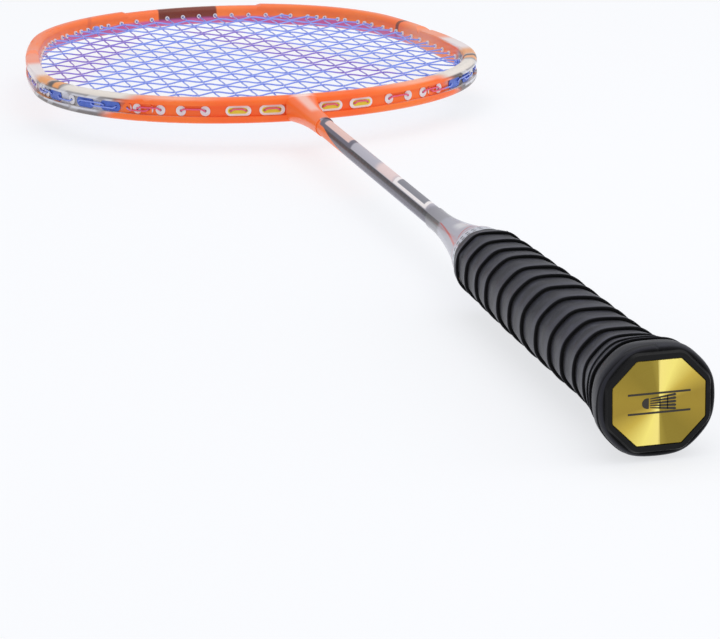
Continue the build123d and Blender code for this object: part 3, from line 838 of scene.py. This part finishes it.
p = Paint("cone_plastic")
round_angle = p.math("ARCTAN2", p.x, p.z)
flake = p.noise(3600.0, 2.0)
base = p.mix(p.step(p.y, 0.172, 0.222), (0.36, 0.35, 0.44), (0.30, 0.30, 0.36))
base = p.mix(p.mul(flake, 0.3), base, (0.6, 0.6, 0.68))
lean = p.mul(p.sub(p.y, 0.190), 9.0)
red = p.mul(p.band(p.sub(round_angle, lean), -1.08, -0.96, 0.03), p.band(p.y, 0.1725, 0.207, 0.002))
chevron = p.many(
    p.band(p.add(p.y, p.mul(p.math("ABSOLUTE", p.add(round_angle, 0.05)), 0.006)), 0.1778, 0.1788, 0.0003),
    p.band(round_angle, -0.9, 0.9, 0.1),
)
base = p.mix(p.most(red, chevron), base, (0.50, 0.03, 0.03))
dark_side = p.band(p.sub(round_angle, lean), -1.5, -1.08, 0.08)
base = p.mix(p.mul(dark_side, 0.35), base, (0.10, 0.10, 0.13))
# painted highlight: a pale patch on the top of the cone
cone_highlight = p.many(p.band(round_angle, -0.55, 0.05, 0.2), p.band(p.y, 0.181, 0.191, 0.003))
base = p.mix(p.mul(cone_highlight, 0.8), base, (0.80, 0.80, 0.82))
base = p.mix(p.step(p.y, 0.2045, 0.2090), base, shaft_art(p, (0.02, 0.02, 0.024)))
p.bump(p.add(p.noise(900.0, 2.0), p.mul(flake, 0.1)), 0.05, 0.0002)
paint_node(
    "cone_cap",
    p.finish(
        Base_Color=base,
        Metallic=0.25,
        Roughness=p.add(0.26, p.mul(flake, 0.12)),
        Coat_Weight=0.5,
        Coat_Roughness=0.1,
    ),
)

# printed band: plain dashes stand where the real one carries lettering
p = Paint("band_tape")
round_angle = p.math("ARCTAN2", p.x, p.z)
dash = p.math("FRACT", p.mul(round_angle, 4.5))
dash = p.band(dash, 0.22, 0.78, 0.03)
print_rows = p.most(p.band(p.y, 0.1648, 0.1660, 0.00012), p.band(p.y, 0.1672, 0.1684, 0.00012))
base = p.mix(p.noise(90.0, 2.0), (0.42, 0.44, 0.52), (0.60, 0.62, 0.70))
base = p.mix(p.many(dash, print_rows, 0.9), base, (0.03, 0.03, 0.04))
base = p.mix(p.band(p.y, 0.1701, 0.1706, 0.0002), base, (0.40, 0.03, 0.04))
p.bump(p.noise(1800.0, 2.0), 0.08, 0.0001)
paint_node(
    "finishing_tape",
    p.finish(Base_Color=base, Roughness=p.add(0.25, p.mul(p.noise(500.0), 0.15)), Coat_Weight=0.4),
)

# ------------------------------------------------------------------ butt
p = Paint("cap_plastic")
fine = p.noise(2200.0, 3.0)
scuff = p.noise(220.0, 4.0, p.scaled(p.place, 1.0, 3.0, 1.0))
base = p.mix(p.step(scuff, 0.5, 0.75), (0.002, 0.002, 0.0025), (0.006, 0.006, 0.007))
p.bump(fine, 0.12, 0.00008)
paint_node(
    "butt_cap", p.finish(Base_Color=base, Roughness=p.add(0.34, p.mul(fine, 0.2)), Specular_IOR_Level=0.2)
)

p = Paint("plate_gold")
# painted reflections: the colour ramp runs bright and dark in sectors round the plate, as the turned gold
# catches the light; the fine grooves are the real turning
angle = p.math("ARCTAN2", p.x, p.z)
sweep = p.math("FRACT", p.add(p.math("DIVIDE", p.add(angle, 0.03), pi), 1.0))
radius = p.math("SQRT", p.add(p.mul(p.x, p.x), p.mul(p.z, p.z)))
grooves = p.noise(1.0, 2.0, p.join(p.mul(radius, 26000.0), p.mul(angle, 1.2), 0.0))
ramp = p.node("ShaderNodeValToRGB", {0: sweep})
stops = [
    (0.0, (0.60, 0.48, 0.12)),
    (0.02, (1.0, 0.84, 0.24)),
    (0.13, (1.0, 0.86, 0.22)),
    (0.30, (0.62, 0.45, 0.07)),
    (0.44, (0.34, 0.23, 0.03)),
    (0.56, (0.35, 0.24, 0.03)),
    (0.78, (0.26, 0.185, 0.022)),
    (0.94, (0.27, 0.195, 0.024)),
    (0.99, (0.36, 0.27, 0.04)),
]
while len(ramp.color_ramp.elements) < len(stops):
    ramp.color_ramp.elements.new(0.5)
for element, (where, colour) in zip(ramp.color_ramp.elements, stops):
    element.position = where
    element.color = colour + (1.0,)
base = p.mix(p.mul(grooves, 0.12), ramp.outputs[0], (0.95, 0.78, 0.28))
p.bump(grooves, 0.25, 0.00003)
paint_node(
    "end_plate", p.finish(Base_Color=base, Metallic=1.0, Roughness=p.add(0.32, p.mul(grooves, 0.12)))
)

# generic mark on the plate: a side-on shuttle between two thin rules
p = Paint("plate_print")
base = p.mix(p.noise(900.0, 3.0), (0.012, 0.009, 0.004), (0.03, 0.022, 0.01))
p.bump(p.noise(2500.0, 2.0), 0.1, 0.00005)
print_material = p.finish(Base_Color=base, Roughness=p.add(0.35, p.mul(p.noise(1500.0), 0.2)))


def mark_shapes():
    """Outlines (x, z) in millimetres: rules, cork and feathers."""
    shapes = []
    for z in (2.75, -2.75):
        shapes.append([(-9.0, z - 0.28), (9.0, z - 0.28), (9.0, z + 0.28), (-9.0, z + 0.28)])
    cork = [(-3.4 - 1.55 * sin(pi * k / 14), -1.5 * cos(pi * k / 14)) for k in range(15)]
    shapes.append([(-3.0, -1.5)] + cork + [(-3.0, 1.5)])
    for k in range(5):
        a, b = (-2.6, 0.62 * (k - 2)), (4.6, (k - 2) * 1.0)
        shapes.append(
            [
                (a[0], a[1] - 0.13),
                (b[0], b[1] - 0.36),
                (b[0] + 0.35, b[1]),
                (b[0], b[1] + 0.36),
                (a[0], a[1] + 0.13),
            ],
        )
    for x, half in ((0.2, 1.75), (2.4, 1.95)):
        shapes.append([(x - 0.15, -half), (x + 0.15, -half), (x + 0.15, half), (x - 0.15, half)])
    return shapes


verts, faces = [], []
for outline in mark_shapes():
    first = len(verts)
    n = len(outline)
    verts += [(x * MM, -0.00006, z * MM) for x, z in outline]
    verts += [(x * MM, 0.00002, z * MM) for x, z in outline]
    faces.append(tuple(first + k for k in range(n)))
    faces.append(tuple(first + n + k for k in range(n))[::-1])
    for k in range(n):
        m = (k + 1) % n
        faces.append((first + m, first + k, first + n + k, first + n + m))
piece("end_plate_mark", verts, faces, print_material, smooth=False)


# ------------------------------------------------------------------ grommets and inner pieces
def plastic(name, dark_tone, light_tone, rough=0.3):
    p = Paint(name)
    cloud = p.noise(400.0, 3.0)
    p.bump(p.noise(3000.0, 2.0), 0.1, 0.00006)
    return p.finish(
        Base_Color=p.mix(cloud, dark_tone, light_tone),
        Roughness=p.add(rough, p.mul(cloud, 0.15)),
        Subsurface_Weight=0.1,
        Subsurface_Radius=(0.001, 0.001, 0.001),
        Subsurface_Scale=0.5,
    )


YELLOW = (0.90, 0.74, 0.04)
p = Paint("grommet_yellow")
cloud = p.noise(400.0, 3.0)
from_pair = p.math("ABSOLUTE", p.sub(p.math("ABSOLUTE", p.sub(p.math("ABSOLUTE", p.x), 0.0194)), 0.0069))
beyond = p.math("SUBTRACT", from_pair, 0.0028, clamp=True)
off_line = p.math("SQRT", p.add(p.mul(beyond, beyond), p.mul(p.z, p.z)))
base = p.mix(cloud, (0.76, 0.62, 0.02), YELLOW)
base = p.mix(p.step(off_line, 0.00115, 0.0013), base, (0.86, 0.85, 0.86))
p.bump(p.noise(3000.0, 2.0), 0.1, 0.00006)
paint_node("throat_grommets", p.finish(Base_Color=base, Roughness=p.add(0.3, p.mul(cloud, 0.15))))
paint_node("lower_side_grommets", plastic("grommet_blue", (0.04, 0.10, 0.52), (0.10, 0.20, 0.72)))
white = plastic("grommet_white", (0.72, 0.70, 0.76), (0.86, 0.84, 0.88))
for name in ("left_grommets", "right_grommets", "tip_grommets"):
    paint_node(name, white)
p = Paint("grommet_mixed")
cloud = p.noise(400.0, 3.0)
hidden = p.most(
    p.band(p.math("ABSOLUTE", p.x), 0.0594, 0.0636, 0.0002), p.band(p.x, -0.0714, -0.0673, 0.0002)
)
base = p.mix(cloud, (0.72, 0.70, 0.76), (0.86, 0.84, 0.88))
base = p.mix(hidden, base, ORANGE_LIGHT)
p.bump(p.noise(3000.0, 2.0), 0.1, 0.00006)
paint_node("lower_grommets", p.finish(Base_Color=base, Roughness=p.add(0.3, p.mul(cloud, 0.15))))

p = Paint("handle_wood")
rings = p.node(
    "ShaderNodeTexWave",
    {"Scale": 90.0, "Vector": p.scaled(p.place, 1.0, 0.05, 1.0), "Distortion": 4.0, "Detail": 3.0},
).outputs[1]
fibres = p.noise(900.0, 4.0, p.scaled(p.place, 1.0, 0.04, 1.0))
base = p.mix(rings, (0.50, 0.31, 0.15), (0.68, 0.47, 0.26))
base = p.mix(p.mul(fibres, 0.4), base, (0.32, 0.18, 0.08))
p.bump(fibres, 0.3, 0.0002)
paint_node("handle_core", p.finish(Base_Color=base, Roughness=p.add(0.5, p.mul(fibres, 0.2))))

p = Paint("insert_alloy")
brushed = p.noise(1200.0, 3.0, p.scaled(p.place, 1.0, 0.05, 1.0))
p.bump(brushed, 0.15, 0.00005)
alloy = p.finish(
    Base_Color=p.mix(brushed, (0.55, 0.55, 0.57), (0.75, 0.75, 0.77)),
    Metallic=1.0,
    Roughness=p.add(0.3, p.mul(brushed, 0.2)),
)
paint_node("t_insert", alloy)
paint_node("grip_staple", alloy)
paint_node("shaft_plug", plastic("plug_foam", (0.62, 0.62, 0.55), (0.80, 0.80, 0.74), 0.8))

# ------------------------------------------------------------------ floor and light
floor_z = cad_box[0][2] - 0.0008
size = 4.0
mesh = bpy.data.meshes.new("floor")
mesh.from_pydata(
    [(-size, -size, floor_z), (size, -size, floor_z), (size, size, floor_z), (-size, size, floor_z)],
    [],
    [(0, 1, 2, 3)],
)
p = Paint("floor_pale")
p.material.node_tree.links.new(
    p.mix(p.noise(3.0, 2.0), (0.26, 0.263, 0.272), (0.275, 0.278, 0.287)), p.shader.inputs["Base Color"]
)
mesh.materials.append(
    p.finish(
        Roughness=0.9, Specular_IOR_Level=0.1, Emission_Color=(0.97, 0.98, 1.0), Emission_Strength=0.70
    ),
)
floor_object = bpy.data.objects.new("floor", mesh)
bpy.context.collection.objects.link(floor_object)

world = bpy.data.worlds.new("studio")
bpy.context.scene.world = world
world.use_nodes = True
world.node_tree.nodes["Background"].inputs[0].default_value = (0.96, 0.97, 1.0, 1.0)
world.node_tree.nodes["Background"].inputs[1].default_value = 0.62


def softbox(name, place, target, width, height, power, colour=(1.0, 1.0, 1.0)):
    data = bpy.data.lights.new(name, "AREA")
    data.shape = "RECTANGLE"
    data.size = width
    data.size_y = height
    data.energy = power
    data.color = colour
    light = bpy.data.objects.new(name, data)
    light.location = place
    light.rotation_euler = (Vector(target) - Vector(place)).to_track_quat("-Z", "Y").to_euler()
    bpy.context.collection.objects.link(light)


softbox("overhead", (0.1, 0.25, 1.5), (0.0, 0.3, 0.0), 1.8, 1.8, 12.0)
softbox("camera_side", (-0.9, -0.9, 0.8), (0.0, 0.1, 0.0), 1.0, 1.0, 1.5)
softbox("right_side", (1.2, -0.2, 0.6), (0.0, 0.2, 0.0), 0.8, 1.2, 3.0)

bpy.context.scene.view_settings.view_transform = "Standard"
bpy.context.scene.view_settings.look = "None"
